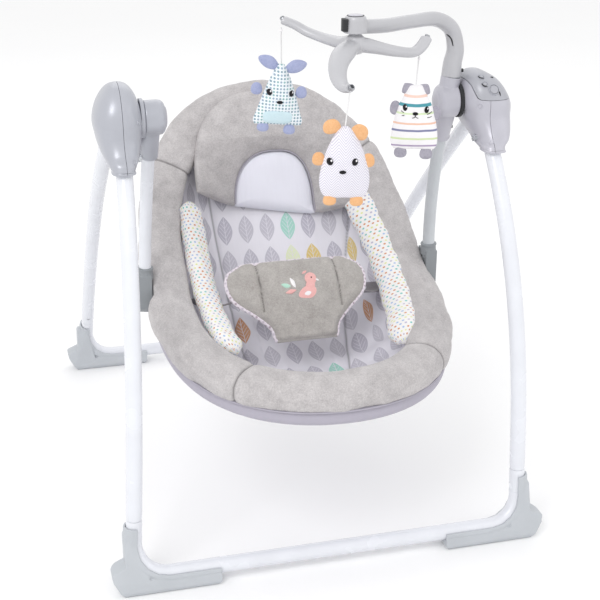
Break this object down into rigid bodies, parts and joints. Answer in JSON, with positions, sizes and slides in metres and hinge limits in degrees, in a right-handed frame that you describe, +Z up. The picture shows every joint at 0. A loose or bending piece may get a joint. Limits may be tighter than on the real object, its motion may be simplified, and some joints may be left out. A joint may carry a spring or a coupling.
{
  "type": "baby swing",
  "caption": "Portable baby swing: folding tube frame, plush-rimmed seat hung on side arms from hubs, motor hub with control panel, and a toy bar with hanging plush toys.",
  "frame": {"origin": "on the floor in the middle of the footprint", "axes": "+Z up, the swing faces -Y, +X towards its motor hub"},
  "size_m": [0.63, 0.8154, 0.759],
  "materials": {
    "white_paint": "satin white powder coat",
    "pale_grey_plastic": "satin moulded",
    "silver_grey_plastic": "satin silver-grey moulded",
    "dark_grey_plastic": "matt moulded",
    "clear_plastic": "clear",
    "zinc_steel": "zinc plated",
    "copper_winding": "enamelled copper wire",
    "green_board": "lacquered board",
    "nylon": "natural nylon",
    "taupe_plush": "short plush pile",
    "white_liner": "printed cotton",
    "dotted_cotton": "dotted cotton",
    "toy_blue": "printed cotton",
    "toy_orange": "printed cotton",
    "toy_white": "striped cotton",
    "white_cord": "thin cord"
  },
  "bodies": {
    "base_frame": {"front_base_bar": "white_paint", "left_front_leg": "white_paint", "right_front_leg": "white_paint", "left_front_foot": "pale_grey_plastic", "right_front_foot": "pale_grey_plastic", "left_hub_outer_shell": "silver_grey_plastic", "left_hub_inner_shell": "silver_grey_plastic", "right_hub_outer_shell": "silver_grey_plastic", "right_hub_inner_shell": "silver_grey_plastic", "control_panel_lid": "pale_grey_plastic", "left_pivot_bush": "nylon", "right_pivot_bush": "nylon", "circuit_board": "green_board", "drive_coil": "copper_winding"},
    "rear_frame": {"rear_base_bar": "white_paint", "left_rear_leg": "white_paint", "right_rear_leg": "white_paint", "left_rear_foot": "pale_grey_plastic", "right_rear_foot": "pale_grey_plastic", "left_fold_pin": "zinc_steel", "right_fold_pin": "zinc_steel"},
    "swing_arms": {"left_pivot_head": "silver_grey_plastic", "right_pivot_head": "silver_grey_plastic", "left_pivot_shaft": "zinc_steel", "right_pivot_shaft": "zinc_steel", "left_hanger_arm": "white_paint", "right_hanger_arm": "pale_grey_plastic", "left_seat_bracket": "dark_grey_plastic", "right_seat_bracket": "dark_grey_plastic", "drive_magnet": "zinc_steel"},
    "seat": {"seat_frame": "white_paint", "left_recline_hub": "dark_grey_plastic", "right_recline_hub": "dark_grey_plastic", "plush_rim": "taupe_plush", "fabric_bucket": "white_liner", "head_pillow": "taupe_plush", "left_side_bolster": "dotted_cotton", "right_side_bolster": "dotted_cotton", "restraint_pad": "taupe_plush"},
    "toy_bar": {"toy_bar": "silver_grey_plastic"},
    "toy_hanger": {"toy_hanger": "silver_grey_plastic"},
    "triangle_toy": {"triangle_toy": "toy_blue", "triangle_toy_string": "white_cord"},
    "herringbone_toy": {"herringbone_toy": "toy_orange", "herringbone_toy_string": "white_cord"},
    "striped_toy": {"striped_toy": "toy_white", "striped_toy_string": "white_cord"},
    "left_front_snap_button": {"left_front_snap_button": "zinc_steel"},
    "right_front_snap_button": {"right_front_snap_button": "zinc_steel"},
    "left_rear_snap_button": {"left_rear_snap_button": "zinc_steel"},
    "right_rear_snap_button": {"right_rear_snap_button": "zinc_steel"},
    "left_fold_release_button": {"left_fold_release_button": "clear_plastic"},
    "right_fold_release_button": {"right_fold_release_button": "clear_plastic"},
    "left_arm_snap_button": {"left_arm_snap_button": "dark_grey_plastic"},
    "right_arm_snap_button": {"right_arm_snap_button": "dark_grey_plastic"},
    "toy_bar_snap_button": {"toy_bar_snap_button": "dark_grey_plastic"},
    "timer_button": {"timer_button": "silver_grey_plastic"},
    "power_button": {"power_button": "silver_grey_plastic"},
    "music_button": {"music_button": "silver_grey_plastic"}
  },
  "joints": [
    {"name": "swing", "type": "hinge", "parent": "base_frame", "child": "swing_arms", "pos_m": [0, -0.1628, 0.611], "axis": [1, 0, 0], "range_deg": [-16, 16]},
    {"name": "rear_frame_fold", "type": "hinge", "parent": "base_frame", "child": "rear_frame", "pos_m": [0, -0.1268, 0.578], "axis": [1, 0, 0], "range_deg": [-45, 0]},
    {"name": "seat_recline", "type": "hinge", "parent": "swing_arms", "child": "seat", "pos_m": [0, -0.0868, 0.334], "axis": [1, 0, 0], "range_deg": [-8, 10]},
    {"name": "toy_bar_turn", "type": "hinge", "parent": "swing_arms", "child": "toy_bar", "pos_m": [0.2112, -0.1628, 0.6447], "axis": [0, 0, 1], "range_deg": [0, 40]},
    {"name": "toy_hanger_turn", "type": "hinge", "parent": "toy_bar", "child": "toy_hanger", "pos_m": [0.028, -0.2968, 0.722], "axis": [0, 0, 1], "range_deg": [-75, 8]},
    {"name": "striped_toy_sway", "type": "hinge", "parent": "toy_hanger", "child": "striped_toy", "pos_m": [0.1166, -0.28832, 0.70046], "axis": [1, 0, 0], "range_deg": [-15, 15]},
    {"name": "herringbone_toy_sway", "type": "hinge", "parent": "toy_hanger", "child": "herringbone_toy", "pos_m": [-0.00702, -0.39473, 0.68989], "axis": [1, 0, 0], "range_deg": [-15, 15]},
    {"name": "triangle_toy_sway", "type": "hinge", "parent": "toy_hanger", "child": "triangle_toy", "pos_m": [-0.04154, -0.2168, 0.73097], "axis": [1, 0, 0], "range_deg": [-15, 15]},
    {"name": "left_front_snap_button_press", "type": "slide", "parent": "base_frame", "child": "left_front_snap_button", "axis": [0, -1, 0], "range_m": [0, 0.0025], "stiffness_N_per_m": 300},
    {"name": "left_rear_snap_button_press", "type": "slide", "parent": "rear_frame", "child": "left_rear_snap_button", "axis": [0, 1, 0], "range_m": [0, 0.0025], "stiffness_N_per_m": 300},
    {"name": "left_fold_release_button_press", "type": "slide", "parent": "base_frame", "child": "left_fold_release_button", "axis": [-1, 0, 0], "range_m": [0, 0.003], "stiffness_N_per_m": 300},
    {"name": "left_arm_snap_button_press", "type": "slide", "parent": "swing_arms", "child": "left_arm_snap_button", "axis": [1, 0, 0], "range_m": [0, 0.0022], "stiffness_N_per_m": 300},
    {"name": "right_front_snap_button_press", "type": "slide", "parent": "base_frame", "child": "right_front_snap_button", "axis": [0, -1, 0], "range_m": [0, 0.0025], "stiffness_N_per_m": 300},
    {"name": "right_rear_snap_button_press", "type": "slide", "parent": "rear_frame", "child": "right_rear_snap_button", "axis": [0, 1, 0], "range_m": [0, 0.0025], "stiffness_N_per_m": 300},
    {"name": "right_fold_release_button_press", "type": "slide", "parent": "base_frame", "child": "right_fold_release_button", "axis": [1, 0, 0], "range_m": [0, 0.003], "stiffness_N_per_m": 300},
    {"name": "right_arm_snap_button_press", "type": "slide", "parent": "swing_arms", "child": "right_arm_snap_button", "axis": [-1, 0, 0], "range_m": [0, 0.0022], "stiffness_N_per_m": 300},
    {"name": "toy_bar_snap_button_press", "type": "slide", "parent": "toy_bar", "child": "toy_bar_snap_button", "axis": [-1, 0, 0], "range_m": [0, 0.003], "stiffness_N_per_m": 300},
    {"name": "timer_button_press", "type": "slide", "parent": "base_frame", "child": "timer_button", "axis": [-0.048, 0.8566, -0.5138], "range_m": [0, 0.0012], "stiffness_N_per_m": 300},
    {"name": "power_button_press", "type": "slide", "parent": "base_frame", "child": "power_button", "axis": [0.082, 0.466, -0.881], "range_m": [0, 0.0012], "stiffness_N_per_m": 300},
    {"name": "music_button_press", "type": "slide", "parent": "base_frame", "child": "music_button", "axis": [0.104, 0.7379, -0.6669], "range_m": [0, 0.0012], "stiffness_N_per_m": 300}
  ]
}
